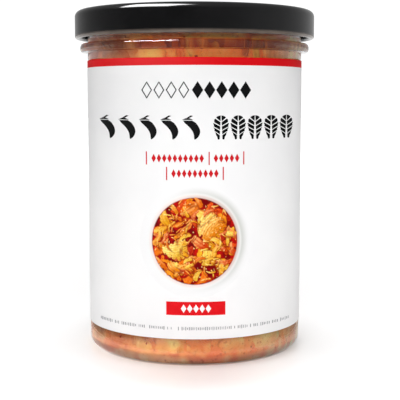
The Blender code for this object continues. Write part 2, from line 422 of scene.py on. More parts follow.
def letLightThrough(tree, shader, tint):
    # light that falls on what the clear piece holds isn't blocked by it
    clear = addNode(tree, "ShaderNodeBsdfTransparent", {"Color": tint})
    shadow = addNode(tree, "ShaderNodeLightPath").outputs["Is Shadow Ray"]
    mix = addNode(tree, "ShaderNodeMixShader", {0: shadow, 1: shader.outputs[0], 2: clear.outputs[0]})
    tree.links.new(mix.outputs[0], tree.nodes["Material Output"].inputs["Surface"])


# Turned pieces: one tree spins an outline about the upright axis

def makeTurningTree():
    tree, given, result = newTree(
        "turning", "GeometryNodeTree",
        [("Outline", "Object", None), ("Segments", "Int", 192),
         ("Finish", "Material", None)],
        [("Geometry", "Geometry")])
    outline = shapeOf(tree, given["Outline"])
    count = addNode(tree, "GeometryNodeAttributeDomainSize", {0: outline}).outputs["Point Count"]
    across = maths(tree, "ADD", given["Segments"], 1.0)
    rise = maths(tree, "SUBTRACT", count, 1.0)
    grid = addNode(tree, "GeometryNodeMeshGrid", {
        "Size X": given["Segments"], "Size Y": rise, "Vertices X": across, "Vertices Y": count})
    here = addNode(tree, "GeometryNodeInputPosition").outputs[0]
    spot = partsOf(tree, here)
    angle = maths(tree, "MULTIPLY", maths(tree, "DIVIDE", spot[0], given["Segments"]), math.tau)
    row = maths(tree, "ROUND", maths(tree, "ADD", spot[1], maths(tree, "MULTIPLY", rise, 0.5)))
    point = addNode(tree, "GeometryNodeSampleIndex", data_type="FLOAT_VECTOR", domain="POINT")
    for key, value in (("Geometry", outline), ("Value", here), ("Index", row)):
        tree.links.new(value, point.inputs[key])
    turned = addNode(tree, "ShaderNodeVectorRotate", {"Vector": point.outputs[0], "Angle": angle},
                     rotation_type="Z_AXIS").outputs[0]
    moved = addNode(tree, "GeometryNodeSetPosition", {"Geometry": grid.outputs["Mesh"], "Position": turned})
    closed = addNode(tree, "GeometryNodeMergeByDistance", {
        "Geometry": moved.outputs[0], "Distance": 0.002 * mm})
    endTree(tree, closed.outputs[0], given["Finish"], result)
    return tree


turningTree = makeTurningTree()


def turn(name, outline, finish, segments=192, sharpFrom=35):
    mesh = bpy.data.meshes.new(name + "Outline")
    mesh.from_pydata([(r, 0, z) for r, z in outline], [], [])
    guide = addObject(name + "Outline", mesh)
    thing = runTree(name, turningTree, {"Outline": guide, "Segments": segments, "Finish": finish})
    removeObject(guide)
    faceOutwards(thing)
    thing.data.shade_smooth()
    thing.data.set_sharp_from_angle(angle=math.radians(sharpFrom))
    return thing


# Glass jar

glassValues = {
    "shoulder": 35.45 * mm, "panel": 35.1 * mm, "recessNear": 0.2 * mm, "recessFar": 0.5 * mm,
    "wall": 2.2 * mm, "heel": 3.0 * mm, "innerHeel": 2.5 * mm, "standing": 28.5 * mm, "pushUp": 1.0 * mm,
    "floor": 2.2 * mm, "floorEdge": 1.4 * mm, "bend": 22.0 * mm, "bendDrop": 0.2 * mm,
    "ringLow": 97.3 * mm, "ringHigh": 99.8 * mm, "blend": 0.5 * mm,
    "beadFace": 2.1 * mm, "beadCorner": 0.45 * mm, "beadTurn": 34,
    "neck": 35.4 * mm, "finish": 36.6 * mm, "finishLow": 103.0 * mm, "finishHigh": 108.6 * mm,
    "finishSlope": 0.8 * mm, "rimRound": 0.9 * mm,
}
ringRadius = jarBox[1].x
rimHeight = jarBox[1].z
innerRadius = glassValues["panel"] - glassValues["wall"]
brineLevel = heapBox[1].z - 0.6 * mm


def makeGlassFinish():
    material, tree, shader = newMaterial("clearGlass", {
        "Base Color": (0.99, 0.995, 0.993, 1), "Roughness": 0.0, "IOR": 1.5, "Transmission Weight": 1.0})
    letLightThrough(tree, shader, (0.985, 0.99, 0.99, 1))
    return material


def glassOutline():
    # up the outside from the middle of the base, over the rim and down the inside
    g = glassValues
    blend, heel, inside, rim = g["blend"], g["heel"], g["innerHeel"], g["rimRound"]
    face, corner, middle = g["beadFace"], g["beadCorner"], (g["ringLow"] + g["ringHigh"]) / 2
    beadFace = arc(ringRadius - face, middle, face, -g["beadTurn"], g["beadTurn"], 10)
    turnAngle = math.radians(g["beadTurn"])
    cornerR = beadFace[-1][0] - corner * math.cos(turnAngle)
    cornerZ = beadFace[-1][1] - corner * math.sin(turnAngle)
    standing, up, slope = g["standing"], g["pushUp"], g["finishSlope"]
    points = [(0, up), (standing * 0.8, up * 0.85), (standing * 0.9, up * 0.42), (standing, 0)]
    points += arc(g["shoulder"] - heel, heel, heel, -90, 0, 12)
    points += [(g["shoulder"], labelLow - g["recessFar"]), (g["panel"], labelLow - g["recessNear"])]
    points += [(g["panel"], labelHigh + g["recessNear"]), (g["shoulder"], labelHigh + g["recessFar"])]
    points += arc(g["shoulder"] + blend, g["ringLow"] - blend, blend, 180, 90, 4)
    points += arc(cornerR, 2 * middle - cornerZ, corner, -90, -g["beadTurn"] - 5, 5)
    points += beadFace
    points += arc(cornerR, cornerZ, corner, g["beadTurn"] + 5, 90, 5)
    points += arc(g["neck"] + blend, cornerZ + corner + blend, blend, -90, -180, 4)
    points += [(g["neck"], g["finishLow"]), (g["finish"], g["finishLow"] + slope)]
    points += [(g["finish"], g["finishHigh"] - slope), (g["neck"], g["finishHigh"])]
    points += arc(g["neck"] - rim, rimHeight - rim, rim, 0, 90, 5)
    points += arc(innerRadius + rim, rimHeight - rim, rim, 90, 180, 5)
    points += arc(innerRadius - inside, g["floorEdge"] + inside, inside, 0, -90, 10)
    return points + [(g["bend"], g["floor"] - g["bendDrop"]), (0, g["floor"])]


def floorHeight(radius):
    # the glass floor inside the jar, from its middle out to the round heel
    g = glassValues
    flat = innerRadius - g["innerHeel"]
    return np.interp(radius, [0, g["bend"], flat], [g["floor"], g["floor"] - g["bendDrop"], g["floorEdge"]])


jarGlass = turn("jarGlass", glassOutline(), makeGlassFinish(), sharpFrom=60)
place(jarGlass, "jar")
print("glass: body, ring and mouth")


# Lid

lidValues = {
    "edge": 2.0 * mm, "curl": 0.9 * mm, "sheet": 0.6 * mm, "panel": 31.5 * mm, "drop": 0.8 * mm,
    "button": 11.0 * mm, "rise": 0.4 * mm, "step": 1.0 * mm, "curlBand": (1.5 * mm, 0.6 * mm),
    "curlOutside": (1.3 * mm, 0.8 * mm), "black": (linear(13, 13, 14), linear(18, 18, 19)),
    # greys for the painted sheen on the curl
    "curlSheen": (linear(84, 75, 68), linear(98, 88, 80)),
}


def makeLidFinish():
    # black lacquer with a slight orange peel, and a painted sheen: greyer round the outside of the curl,
    # where it catches light
    v = lidValues
    material, tree, shader = newMaterial("blackLacquer", {"Roughness": 0.16, "Specular IOR Level": 0.5})
    x, y, z = partsOf(tree, objectPlace(tree))
    lidLow, lidRadius = lidBox[0].z, lidBox[1].x
    away = distanceFrom(tree, addNode(tree, "ShaderNodeCombineXYZ", {0: x, 1: y}).outputs[0])
    low = ramp(tree, z, *(lidLow + height for height in v["curlBand"]))
    outer = ramp(tree, away, *(lidRadius - depth for depth in v["curlOutside"]))
    black = twoTones(tree, v["black"], 90.0, 0.35, 0.7)
    curlSheen = twoTones(tree, v["curlSheen"], 260.0, 0.3, 0.7)
    # painted sheen on the low outside of the curl, where it would catch light
    sheenMask = maths(tree, "MULTIPLY", low, outer)
    tree.links.new(mixColours(tree, sheenMask, black, curlSheen), shader.inputs["Base Color"])
    gloss = maths(tree, "MULTIPLY_ADD", addMottle(tree, 140.0, 0.3, 0.7), 0.05, 0.10)
    tree.links.new(gloss, shader.inputs["Roughness"])
    addGrain(tree, shader, 1400.0, 0.06, 0.00003)
    return material


def lidOutline():
    # over the top from the middle button, down the side, round the curl and back inside
    v = lidValues
    top, radius, low = lidBox[1].z, lidBox[1].x, lidBox[0].z
    panel = top - v["drop"]
    button, sheet = panel + v["rise"], v["sheet"]
    edgeR, edgeZ = radius - v["edge"], top - v["edge"]
    curlR, curlZ = radius - v["curl"], low + v["curl"]
    stepR, buttonR = v["panel"] + v["step"], v["button"] + v["step"]
    soft, ease, slack = 0.25 * mm, 0.06 * mm, 0.2 * mm
    points = [(0, button), (v["button"] - soft, button)]
    points += [(v["button"] + soft, button - ease), (buttonR - soft, panel + ease), (buttonR + soft, panel)]
    points += [(v["panel"] - soft, panel), (v["panel"] + soft, panel + 2 * ease)]
    points += [(stepR - soft, top - 2 * ease), (stepR + soft, top)]
    points += arc(edgeR, edgeZ, v["edge"], 90, 0, 12)
    points += arc(curlR, curlZ, v["curl"], 0, -200, 20)
    points += [(radius - sheet - 0.15 * mm, curlZ + v["curl"] * 0.9)]
    points += [(radius - sheet, curlZ + v["curl"] * 1.5)]
    points += arc(edgeR, edgeZ, v["edge"] - sheet, 0, 90, 6)
    points += [(stepR + slack, top - sheet), (v["panel"] + slack, panel - sheet)]
    return points + [(buttonR, panel - sheet), (v["button"], button - sheet), (0, button - sheet)]


lidShell = turn("lidShell", lidOutline(), makeLidFinish(), segments=240, sharpFrom=60)
place(lidShell, "lid")
print("lid: lacquered shell with its curl")


# Label

labelValues = {
    "opening": 6.0 * mm, "columns": 288, "bandHeight": 2.38 * mm, "sheet": 0.25 * mm, "soften": 0.05 * mm,
    "white": ((0.86, 0.86, 0.865, 1), (0.89, 0.89, 0.89, 1)),
    "red": (linear(212, 14, 22), linear(218, 18, 27)),
}


def makeLabelFinish():
    material, tree, shader = newMaterial("coatedPaper", {"Roughness": 0.6, "Specular IOR Level": 0.05})
    height = partsOf(tree, objectPlace(tree))[2]
    band = maths(tree, "GREATER_THAN", height, labelHigh - labelValues["bandHeight"])
    white = twoTones(tree, labelValues["white"], 60.0, 0.3, 0.7)
    red = twoTones(tree, labelValues["red"], 120.0, 0.3, 0.7)
    tree.links.new(mixColours(tree, band, white, red), shader.inputs["Base Color"])
    addGrain(tree, shader, 3500.0, 0.05, 0.00003)
    return material


def makeLabel():
    # the paper wraps the jar and stops short of itself at the back
    v = labelValues
    inner = labelRadius - v["sheet"]
    halfGap = v["opening"] / 2 / labelRadius
    angles = np.linspace(math.pi / 2 + halfGap, math.pi * 2.5 - halfGap, v["columns"] + 1)
    soften = v["soften"]
    corners = [(inner, labelLow), (labelRadius - soften, labelLow), (labelRadius, labelLow + soften),
               (labelRadius, labelHigh - soften), (labelRadius - soften, labelHigh), (inner, labelHigh)]
    shape = bmesh.new()
    loops = [[shape.verts.new((r * math.cos(a), r * math.sin(a), z)) for r, z in corners] for a in angles]
    for this, following in zip(loops, loops[1:]):
        for k in range(len(corners)):
            after = (k + 1) % len(corners)
            shape.faces.new((this[k], this[after], following[after], following[k]))
    shape.faces.new(loops[0])
    shape.faces.new(loops[-1])
    bmesh.ops.recalc_face_normals(shape, faces=shape.faces)
    mesh = meshFrom(shape, "labelPaper")
    mesh.materials.append(makeLabelFinish())
    mesh.shade_smooth()
    mesh.set_sharp_from_angle(angle=math.radians(50))
    return addObject("labelPaper", mesh)


place(makeLabel(), "label")
print("label: white paper with a red band")


# Print on the label: flat motifs that one tree repeats in a row and bends round the jar

def makePrintTree():
    tree, given, result = newTree(
        "printRow", "GeometryNodeTree",
        [("Motif", "Object", None), ("Copies", "Int", 1), ("Pitch", "Float", 0.005),
         ("Start", "Float", 0.0), ("Height", "Float", 0.05), ("Radius", "Float", 0.035),
         ("Uneven", "Float", 0.0), ("Gaps", "Float", 0.0), ("Seed", "Int", 1),
         ("Ink", "Material", None)],
        [("Geometry", "Geometry")])
    start = addNode(tree, "ShaderNodeCombineXYZ", {0: given["Start"], 2: given["Height"]}).outputs[0]
    offset = addNode(tree, "ShaderNodeCombineXYZ", {0: given["Pitch"]}).outputs[0]
    line = addNode(tree, "GeometryNodeMeshLine", {
        "Count": given["Copies"], "Start Location": start, "Offset": offset}).outputs[0]
    least = maths(tree, "SUBTRACT", 1.0, given["Uneven"])
    wide, tall, chance = (randomEach(tree, first, 1.0, maths(tree, "ADD", given["Seed"], shift))
                          for first, shift in ((least, 0.0), (least, 17.0), (0.0, 31.0)))
    size = addNode(tree, "ShaderNodeCombineXYZ", {0: wide, 1: 1.0, 2: tall}).outputs[0]
    kept = maths(tree, "GREATER_THAN", chance, given["Gaps"])
    motif = shapeOf(tree, given["Motif"])
    copies = addNode(tree, "GeometryNodeInstanceOnPoints", {
        "Points": line, "Instance": motif, "Selection": kept, "Scale": size}).outputs[0]
    flat = addNode(tree, "GeometryNodeRealizeInstances", {"Geometry": copies}).outputs[0]
    spot = partsOf(tree, addNode(tree, "GeometryNodeInputPosition").outputs[0])
    # the artwork is drawn flat as the front sees it, so it spreads towards the sides
    share = maths(tree, "DIVIDE", spot[0], given["Radius"])
    angle = maths(tree, "ARCSINE", maths(tree, "MINIMUM", maths(tree, "MAXIMUM", share, -0.97), 0.97))
    reach = maths(tree, "SUBTRACT", given["Radius"], spot[1])
    wrapped = addNode(tree, "ShaderNodeCombineXYZ", {
        0: maths(tree, "MULTIPLY", maths(tree, "SINE", angle), reach),
        1: maths(tree, "MULTIPLY", maths(tree, "MULTIPLY", maths(tree, "COSINE", angle), reach), -1.0),
        2: spot[2]}).outputs[0]
    bent = addNode(tree, "GeometryNodeSetPosition", {"Geometry": flat, "Position": wrapped}).outputs[0]
    endTree(tree, bent, given["Ink"], result)
    return tree


printTree = makePrintTree()
inkValues = {"under": 0.04 * mm, "over": 0.04 * mm, "overBox": 0.07 * mm, "cut": 0.9 * mm}


def makeInk(name, colour):
    material, tree, shader = newMaterial(name, {"Roughness": 0.6, "Specular IOR Level": 0.05})
    faint = tuple(min(1.0, c * 1.12 + 0.002) for c in colour[:3]) + (1.0,)
    tree.links.new(twoTones(tree, (colour, faint), 500.0, 0.3, 0.8), shader.inputs["Base Color"])
    return material


def makeMotif(outlines, over):
    # flat outlines in the X and Z plane, cut into narrow strips so that they bend, and made a little thick
    shape = bmesh.new()
    for outline in outlines:
        shape.faces.new([shape.verts.new((x, inkValues["under"], z)) for x, z in outline])
    xs = [vert.co.x for vert in shape.verts]
    steps = int((max(xs) - min(xs)) / inkValues["cut"])
    for i in range(1, steps + 1):
        everything = shape.verts[:] + shape.edges[:] + shape.faces[:]
        where = Vector((min(xs) + i * inkValues["cut"], 0, 0))
        bmesh.ops.bisect_plane(shape, geom=everything, dist=1e-7, plane_co=where, plane_no=(1, 0, 0))
    front = bmesh.ops.extrude_face_region(shape, geom=shape.faces[:])["geom"]
    rise = Vector((0, -inkValues["under"] - over, 0))
    bmesh.ops.translate(shape, verts=[g for g in front if isinstance(g, bmesh.types.BMVert)], vec=rise)
    bmesh.ops.recalc_face_normals(shape, faces=shape.faces)
    return addObject("motif", meshFrom(shape, "motif"))


def printRow(name, outlines, ink, start, height, copies=1, pitch=0.0, over="over", **uneven):
    motif = makeMotif(outlines, inkValues[over])
    thing = runTree(name, printTree, {
        "Motif": motif, "Copies": copies, "Pitch": pitch, "Start": start, "Height": height,
        "Radius": labelRadius, "Ink": ink, "Uneven": 0.0, "Gaps": 0.0, "Seed": 1, **uneven})
    removeObject(motif)
    faceOutwards(thing)
    return place(thing)


def bar(width, height, x=0.0, z=0.0):
    return [(x - width / 2, z - height / 2), (x + width / 2, z - height / 2),
            (x + width / 2, z + height / 2), (x - width / 2, z + height / 2)]


def lozenge(width, height, x=0.0, z=0.0):
    return [(x, z - height / 2), (x + width / 2, z), (x, z + height / 2), (x - width / 2, z)]


def openLozenge(width, height, line, x=0.0):
    # a lozenge drawn as a thin line, in a left and a right half
    deep, thin = line * 1.5, line
    halves = []
    for side in (-1, 1):
        near = x + side * 0.02 * mm
        points = [(near, height / 2), (x + side * width / 2, 0), (near, -height / 2),
                  (near, -height / 2 + deep), (x + side * (width / 2 - thin), 0), (near, height / 2 - deep)]
        halves.append(points if side < 0 else list(reversed(points)))
    return halves


def chilliOutline(height, steps=16):
    # a bent pod that tapers to its tip, with its cap and stem as two more shapes
    lean, stout = height * 0.50, height * 0.25

    def middle(t):
        return lean * (math.sin(1.9 * t + 0.25) - 0.55), height * (0.29 - 0.79 * t)

    def half(t):
        return stout * (1 - t) ** 0.55 * min(1.0, 0.75 + 2.2 * t)

    right = [(middle(t)[0] + half(t), middle(t)[1]) for t in [i / steps for i in range(steps + 1)]]
    left = [(middle(t)[0] - half(t), middle(t)[1]) for t in [i / steps for i in range(steps)]]
    x = middle(0)[0]
    cap = [(x - stout * 0.95, height * 0.315), (x + stout * 0.95, height * 0.315),
           (x + stout * 0.3, height * 0.385), (x - stout * 0.35, height * 0.385)]
    stem = [(x - stout * 0.25, height * 0.387), (x + stout * 0.22, height * 0.387),
            (x + stout * 0.9, height * 0.48), (x + stout * 0.5, height * 0.5)]
    return [list(reversed(right)) + left, cap, stem]


def leafOutline(height, width):
    # a frilled cabbage leaf in lobes, with its rib and side veins left white
    widest, rise, slit = 0.62, 0.15, 0.018
    veins = [0.0, 0.20, 0.38, 0.56, 0.74, 1.0]

    def edge(t):
        frill = 1 + 0.045 * math.sin(t * 40)
        if t < widest:
            return width / 2 * frill * (0.40 + 0.60 * math.sin(math.pi / 2 * t / widest) ** 1.2)
        return width / 2 * frill * math.sqrt(max(1 - ((t - widest) / (1 - widest)) ** 2.3, 0.0))

    def rib(t):
        return width * (0.075 * (1 - t) + 0.02)

    lobes = []
    for side in (1, -1):
        for low, high in zip(veins, veins[1:]):
            first, last = low == 0.0, high == 1.0
            inner = [low + slit, high - slit] if not last else [low + slit, 0.94]
            outer = [1.0 if last else min(high + rise, 1.0) - slit, 0.0 if first else low + rise + slit]
            rim = [outer[0] + (outer[1] - outer[0]) * i / 8 for i in range(9)]
            points = [(rib(t), t) for t in inner] + [(max(edge(t), rib(t)), t) for t in rim]
            points = [(side * x, height * (t - 0.5)) for x, t in points]
            lobes.append(points if side < 0 else list(reversed(points)))
    return lobes


printValues = {
    "titleHeight": 7.3 * mm, "titleZ": 73.4 * mm, "firstStart": -27.4 * mm, "firstPitch": 6.6 * mm,
    "secondStart": 8.0 * mm, "secondPitch": 5.25 * mm, "leafWidth": 4.55 * mm,
    "emblemZ": 84.7 * mm, "emblemHeight": 5.2 * mm, "emblemLine": 0.36 * mm,
    "thinWidth": 3.3 * mm, "thinStart": -14.5 * mm, "thinPitch": 3.75 * mm,
    "boldWidth": 3.4 * mm, "boldStart": 0.9 * mm, "boldPitch": 3.65 * mm,
    "rowOneZ": 64.1 * mm, "rowOneBars": (-14.7, 4.4, 15.0), "rowTwoZ": 59.5 * mm, "rowTwoBars": (-8.5, 8.7),
    "barHeight": 4.0 * mm, "barWidth": 0.34 * mm, "grainPitch": 1.62, "grain": (1.35 * mm, 2.6 * mm),
    "boxX": 0.35 * mm, "boxZ": 18.0 * mm, "boxWidth": 18.2 * mm, "boxHeight": 4.2 * mm,
    "boxShape": (1.7 * mm, 2.6 * mm), "boxStart": -3.4 * mm, "boxPitch": 1.9 * mm,
    "fineZ": 11.75 * mm, "fineStart": -30.2 * mm, "finePitch": 0.56 * mm, "fineCount": 109,
    "fineTick": (0.30 * mm, 1.15 * mm),
}


def makePrint():
    v = printValues
    black, red = makeInk("blackInk", linear(14, 14, 15)), makeInk("redInk", linear(196, 26, 34))
    boxRed, white = makeInk("boxRed", linear(218, 20, 28)), makeInk("whiteInk", (0.86, 0.86, 0.86, 1))
    grey = makeInk("greyInk", linear(150, 150, 153))
    tall, titleZ, emblemZ = v["emblemHeight"], v["titleZ"], v["emblemZ"]
    chilli, leaf = chilliOutline(v["titleHeight"]), leafOutline(v["titleHeight"], v["leafWidth"])
    thin, bold = openLozenge(v["thinWidth"], tall, v["emblemLine"]), [lozenge(v["boldWidth"], tall)]
    printRow("printChillies", chilli, black, v["firstStart"], titleZ, 5, v["firstPitch"])
    printRow("printLeaves", leaf, black, v["secondStart"], titleZ, 5, v["secondPitch"])
    printRow("printThin", thin, black, v["thinStart"], emblemZ, 4, v["thinPitch"])
    printRow("printBold", bold, black, v["boldStart"], emblemZ, 5, v["boldPitch"])
    pitch = v["grainPitch"]
    for name in ("One", "Two"):
        height, ends = v[f"row{name}Z"], v[f"row{name}Bars"]
        bars = [bar(v["barWidth"], v["barHeight"], x * mm) for x in ends]
        printRow("printBars" + name, bars, red, 0.0, height)
        for k, (left, right) in enumerate(zip(ends, ends[1:])):
            # as many small grains as fit between two bars, in the middle of the room
            count = int((right - left - 1.6) / pitch)
            first = (left + right - (count - 1) * pitch) / 2
            grain = [lozenge(*v["grain"])]
            printRow(f"printGrains{name}{k}", grain, red, first * mm, height, count, pitch * mm)
    printRow("printBox", [bar(v["boxWidth"], v["boxHeight"])], boxRed, v["boxX"], v["boxZ"])
    # the white shapes lie on the red box, so they stand a little prouder
    shapes = [lozenge(*v["boxShape"])]
    printRow("printBoxShapes", shapes, white, v["boxStart"], v["boxZ"], 5, v["boxPitch"], over="overBox")
    tick = [bar(*v["fineTick"])]
    printRow("printFine", tick, grey, v["fineStart"], v["fineZ"], v["fineCount"], v["finePitch"],
             Uneven=0.45, Gaps=0.2, Seed=5)


makePrint()
print("print: generic motifs in the label's colours")


# Round picture of a filled bowl, painted point by point from a few rules

pictureValues = {
    "x": 0.0, "z": 38.8 * mm, "food": 13.5 * mm, "rim": 14.9 * mm, "reach": 17.5 * mm,
    "rings": 130, "spokes": 440, "seed": 23,
    # how many cuts of each kind, their half length and how narrow they are, in millimetres
    "layers": [
        {"count": 60, "long": (1.6, 3.2), "narrow": (0.24, 0.50), "away": 0.98, "cream": 0.05, "ribs": 3,
         "tone": (1, 5)},
        {"count": 52, "long": (1.6, 3.4), "narrow": (0.22, 0.46), "away": 0.95, "cream": 0.45, "ribs": 5,
         "tone": (0, 4)},
        {"count": 4, "long": (3.6, 4.6), "narrow": (0.62, 0.80), "away": 0.50, "cream": 0.9, "ribs": 7,
         "tone": (0, 2)},
        {"count": 20, "long": (1.3, 2.6), "narrow": (0.16, 0.34), "away": 0.95, "cream": 0.5, "ribs": 5,
         "tone": (0, 4)},
        {"count": 46, "long": (0.8, 1.9), "narrow": (0.10, 0.18), "away": 0.97, "cream": 0.8, "ribs": 1,
         "tone": (0, 3)},
    ],
    "tones": [linear(255, 208, 74), linear(255, 188, 40), linear(254, 158, 24), linear(248, 126, 18),
              linear(232, 74, 16), linear(196, 34, 18)],
}


def paintCut(draw, x, z, warp, layer, number):
    # where one ragged cut lies, how it is lit, and the soft shadow at its lower right
    away = pictureValues["food"] / mm * math.sqrt(draw.random()) * layer["away"]
    where, lean = draw.uniform(0, math.tau), draw.uniform(0, math.pi)
    longer = draw.uniform(*layer["long"])
    wide = longer * draw.uniform(*layer["narrow"])
    dx, dz = x - away * math.cos(where), z - away * math.sin(where)
    along, across = dx * math.cos(lean) + dz * math.sin(lean), dz * math.cos(lean) - dx * math.sin(lean)
    across = across - draw.uniform(-0.22, 0.22) * along * along
    taper = 1 + draw.uniform(-0.45, 0.45) * along / longer
    ragged = warp * 0.13 + 0.08 * np.sin(4.3 * along + number)
    broad = np.abs(across) / wide / taper.clip(0.3)
    size = ((np.abs(along) / longer) ** 3.2 + broad ** 2.2) ** 0.4 + ragged
    body = 1 - smoothstep(0.90, 1.0, size)
    low = smoothstep(-0.2, 0.7, (dx - dz) / longer)
    shadow = (1 - smoothstep(0.9, 1.0 + 0.40 / wide, size)) * (0.12 + 0.88 * low)
    streak = 0.5 + 0.5 * np.sin(across * (layer["ribs"] + draw.uniform(0, 2)) + 1.2 * warp + number)
    light = smoothstep(-0.9, 0.9, (dz - dx) / longer + 0.5 * warp)
    return body, shadow, streak, light, size


def paintPicture(x, z):
    # x and z in millimetres from the bowl's middle; gives a linear colour for each point
    v = pictureValues
    draw = random.Random(v["seed"])
    food, rim = v["food"] / mm, v["rim"] / mm
    radius = np.hypot(x, z)
    colour = np.tile(np.array([0.872, 0.872, 0.875]), (len(x), 1))

    def blend(mask, shade):
        colour[:] = colour * (1 - mask[:, None]) + np.asarray(shade)[..., :3] * mask[:, None]

    side = smoothstep(-0.7, 1.0, (x * 0.9 + z * 0.25) / radius.clip(0.1))
    shadow = 1 - smoothstep(rim - 1.2, rim + 2.0, np.hypot(x - 0.5, z - 0.2))
    blend(0.62 * shadow * side, linear(168, 172, 160))
    blend(1 - smoothstep(rim - 0.7, rim + 0.3, radius), (0.872, 0.872, 0.865))
    inner = smoothstep(food - 0.3, food, radius) * (1 - smoothstep(food + 0.1, food + 1.2, radius))
    blend(0.55 * inner * smoothstep(-0.2, 1.0, (x + z * 0.4) / radius.clip(0.1)), linear(168, 160, 146))
    blend(0.35 * inner, linear(236, 190, 176))
    coarse, fine = flatNoise(x, z, 0.45, 3.0), flatNoise(x, z, 2.3, 8.0)
    warp = flatNoise(x, z, 1.1, 5.0) + 0.6 * fine
    wet = smoothstep(-0.2, 0.45, coarse + 0.3 * fine)[:, None]
    sauce = np.array(linear(112, 0, 8)) * (1 - wet) + np.array(linear(196, 14, 12)) * wet
    blend(1 - smoothstep(food - 0.25, food + 0.05, radius), sauce)
    inside = 1 - smoothstep(food - 0.5, food - 0.2, radius + 0.5 * warp)
    cream, glow = np.array(linear(255, 240, 176))[:3], np.array(linear(236, 88, 6))[:3]
    number = 0
    for layer in v["layers"]:
        for _ in range(layer["count"]):
            number += 1
            body, fall, streak, light, size = paintCut(draw, x, z, warp, layer, number)
            tone = np.array(v["tones"][draw.randint(*layer["tone"])])[:3]
            blend(0.8 * fall * inside, linear(132, 14, 2))
            shown = mixed(tone * np.array([0.90, 0.74, 0.6]), tone, streak)
            shown = mixed(shown, cream, layer["cream"] * light * (0.3 + 0.7 * streak))
            shown = mixed(shown, glow, 0.45 * smoothstep(0.55, 1.0, size + 0.2 * fine) * (1 - light))
            blend(body * inside, shown * (0.80 + 0.24 * light)[:, None])
    flake = smoothstep(0.40, 0.50, flatNoise(x, z, 2.9, 21.0)) * inside
    blend(0.8 * flake, linear(150, 14, 8))
    glint = smoothstep(0.50, 0.62, flatNoise(x, z, 1.6, 44.0)) * inside
    blend(0.7 * glint, linear(255, 236, 180))
    eaten = 1 - smoothstep(food - 0.4, food, radius)[:, None]
    colour *= 1 - eaten * np.array([0.0, 0.02, 0.34])
    return np.clip(colour, 0.0, 1.0)


def makePicture():
    v = pictureValues
    shape = bmesh.new()
    middle = shape.verts.new((0, 0, 0))
    rings, spokes = [], v["spokes"]
    angles = [math.tau * k / spokes for k in range(spokes)]
    for i in range(1, v["rings"] + 1):
        r = v["reach"] * i / v["rings"]
        rings.append([shape.verts.new((r * math.cos(a), 0, r * math.sin(a))) for a in angles])
    for k in range(spokes):
        shape.faces.new((middle, rings[0][k], rings[0][(k + 1) % spokes]))
        for inner, outer in zip(rings, rings[1:]):
            shape.faces.new((inner[k], outer[k], outer[(k + 1) % spokes], inner[(k + 1) % spokes]))
    edge = bmesh.ops.extrude_edge_only(shape, edges=[e for e in shape.edges if e.is_boundary])["geom"]
    outside = [g for g in edge if isinstance(g, bmesh.types.BMVert)]
    bmesh.ops.translate(shape, verts=outside, vec=(0, 2 * inkValues["under"], 0))
    bmesh.ops.contextual_create(shape, geom=[e for e in shape.edges if e.is_boundary])
    bmesh.ops.recalc_face_normals(shape, faces=shape.faces)
    mesh = meshFrom(shape, "labelPicture")
    flat = np.array([vert.co[:] for vert in mesh.vertices])
    paintPoints(mesh, paintPicture(flat[:, 0] / mm, flat[:, 2] / mm))
    angle = (flat[:, 0] + v["x"]) / labelRadius
    reach = labelRadius + 0.02 * mm - flat[:, 1]
    bent = np.stack([reach * np.sin(angle), -reach * np.cos(angle), flat[:, 2] + v["z"]], axis=1)
    mesh.vertices.foreach_set("co", bent.astype(np.float32).ravel())
    material, tree, shader = newMaterial("printedPicture", {"Roughness": 0.6, "Specular IOR Level": 0.05})
    paint = addNode(tree, "ShaderNodeAttribute", attribute_name="tint").outputs["Color"]
    tree.links.new(paint, shader.inputs["Base Color"])
    mesh.materials.append(material)
    mesh.shade_smooth()
    mesh.set_sharp_from_angle(angle=math.radians(50))
    return place(addObject("labelPicture", mesh))


makePicture()
print("picture: a generic bowl of cut cabbage")


# Kimchi: pressed cuts of cabbage rib and leaf, radish strips, and mash between and behind them

heapValues = {
    "low": glassValues["floorEdge"] + 0.10 * mm, "high": heapBox[1].z - 1.0 * mm, "seed": 7,
    "wall": innerRadius - 0.05 * mm, "heel": glassValues["innerHeel"], "rows": 9, "perRow": 12,
    "margin": 4.0 * mm, "clear": 0.1 * mm,
    "ribThick": (2.4 * mm, 3.6 * mm), "leafThick": (0.9 * mm, 1.5 * mm), "deepLayer": 0.9 * mm,
    "floorCuts": 22, "floorReach": 27 * mm, "strips": 34,
}
# partly painted light and shade and partly the brine's tint: how much of each colour is kept, by height in
# millimetres; darker in the glass ring, lighter near the base and just behind the label's lower edge
heapShade = [
    (0.0, 1.65, 2.05, 2.9), (2.2, 1.35, 1.6, 2.0), (3.6, 1.14, 1.26, 1.30), (6.5, 1.40, 1.46, 1.55),
    (8.2, 1.40, 1.46, 1.55), (9.5, 1.9, 2.1, 2.3), (14.0, 1.9, 2.1, 2.3), (17.0, 1.0, 1.0, 1.0),
    (90.0, 1.0, 1.0, 1.0), (94.0, 1.46, 1.36, 1.25), (97.3, 1.46, 1.34, 1.20), (97.9, 0.90, 0.52, 0.28),
    (98.3, 0.56, 0.20, 0.05), (99.0, 0.58, 0.21, 0.05), (99.4, 1.60, 1.45, 1.05), (101.0, 1.75, 1.55, 1.40),
    (102.0, 1.90, 1.35, 1.40),
]
